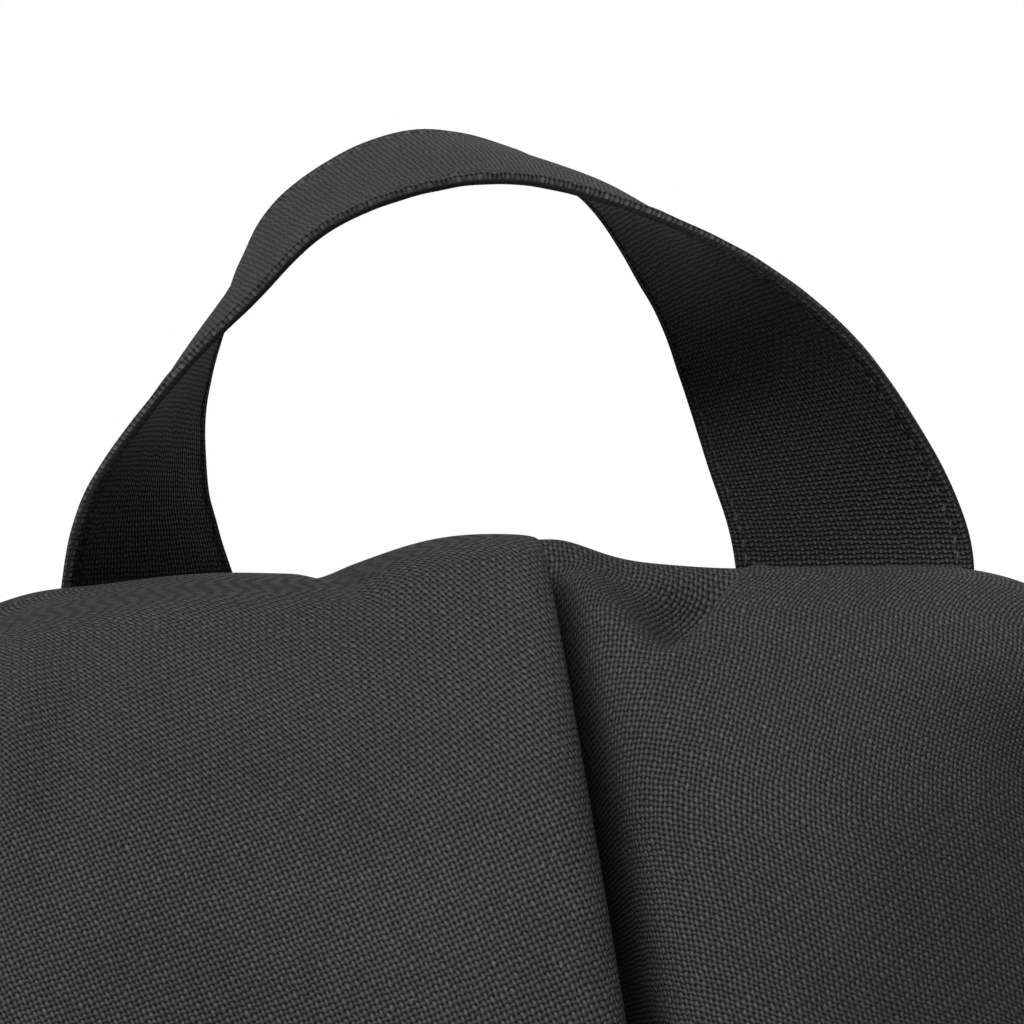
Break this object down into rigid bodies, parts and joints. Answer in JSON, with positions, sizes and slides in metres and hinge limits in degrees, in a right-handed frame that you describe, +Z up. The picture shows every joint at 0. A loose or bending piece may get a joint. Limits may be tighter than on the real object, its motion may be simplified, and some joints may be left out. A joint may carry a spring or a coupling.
{
  "type": "sandbag",
  "caption": "Saddle sandbag of woven fabric: two sand-filled pouches joined by a band, with a carrying strap along the top and a zip on each pouch.",
  "frame": {"origin": "on the surface that the bag stands on, under its middle", "axes": "+Z up; +X along the band and the carrying strap; -Y is the front pouch's outer face"},
  "size_m": [0.25, 0.2276, 0.3367],
  "materials": {
    "bag_fabric": "plain-woven heavy polyester, soft sheen on the yarns",
    "strap_fabric": "plain-woven heavy polyester, hemmed",
    "band_lining": "woven webbing",
    "liner_film": "thick polyethylene film",
    "sand": "dry sand",
    "zip_tape": "herringbone tape",
    "zip_teeth": "nylon coil",
    "zip_metal": "black-painted zinc, worn at the edges"
  },
  "bodies": {
    "saddle": {"saddle_band": "bag_fabric", "band_lining": "band_lining", "handle_patch_left": "strap_fabric", "handle_patch_right": "strap_fabric", "handle_foot_left": "strap_fabric", "handle_foot_right": "strap_fabric"},
    "handle": {"handle_strap_outer": "strap_fabric", "handle_strap_lining": "strap_fabric"},
    "front_pouch": {"front_cover": "bag_fabric", "front_liner": "liner_film", "front_sand": "sand", "front_zip_tape_upper": "zip_tape", "front_zip_tape_lower": "zip_tape", "front_zip_teeth_upper": "zip_teeth", "front_zip_teeth_lower": "zip_teeth", "front_zip_top_stop": "zip_metal", "front_zip_end_stop": "zip_metal"},
    "back_pouch": {"back_cover": "bag_fabric", "back_liner": "liner_film", "back_sand": "sand", "back_zip_tape_upper": "zip_tape", "back_zip_tape_lower": "zip_tape", "back_zip_teeth_upper": "zip_teeth", "back_zip_teeth_lower": "zip_teeth", "back_zip_top_stop": "zip_metal", "back_zip_end_stop": "zip_metal"},
    "front_slider": {"front_zip_slider": "zip_metal"},
    "front_pull": {"front_zip_pull": "zip_metal"},
    "back_slider": {"back_zip_slider": "zip_metal"},
    "back_pull": {"back_zip_pull": "zip_metal"}
  },
  "joints": [
    {"name": "front_swing", "type": "hinge", "parent": "saddle", "child": "front_pouch", "pos_m": [0, -0.0205, 0.2625], "axis": [-1, 0, 0], "range_deg": [0, 90]},
    {"name": "back_swing", "type": "hinge", "parent": "saddle", "child": "back_pouch", "pos_m": [0, 0.0205, 0.25], "axis": [-1, 0, 0], "range_deg": [-90, 0]},
    {"name": "handle_tilt", "type": "hinge", "parent": "saddle", "child": "handle", "pos_m": [0, 0, 0.267], "axis": [-1, 0, 0], "range_deg": [-35, 35]},
    {"name": "front_zip_slide", "type": "slide", "parent": "front_pouch", "child": "front_slider", "axis": [-1, 0, 0], "range_m": [0, 0.14]},
    {"name": "front_pull_flip", "type": "hinge", "parent": "front_slider", "child": "front_pull", "pos_m": [0.07, -0.1115, 0.072], "axis": [0, 0, -1], "range_deg": [0, 175]},
    {"name": "back_zip_slide", "type": "slide", "parent": "back_pouch", "child": "back_slider", "axis": [1, 0, 0], "range_m": [0, 0.14]},
    {"name": "back_pull_flip", "type": "hinge", "parent": "back_slider", "child": "back_pull", "pos_m": [-0.07, 0.1115, 0.072], "axis": [0, 0, -1], "range_deg": [0, 175]}
  ]
}
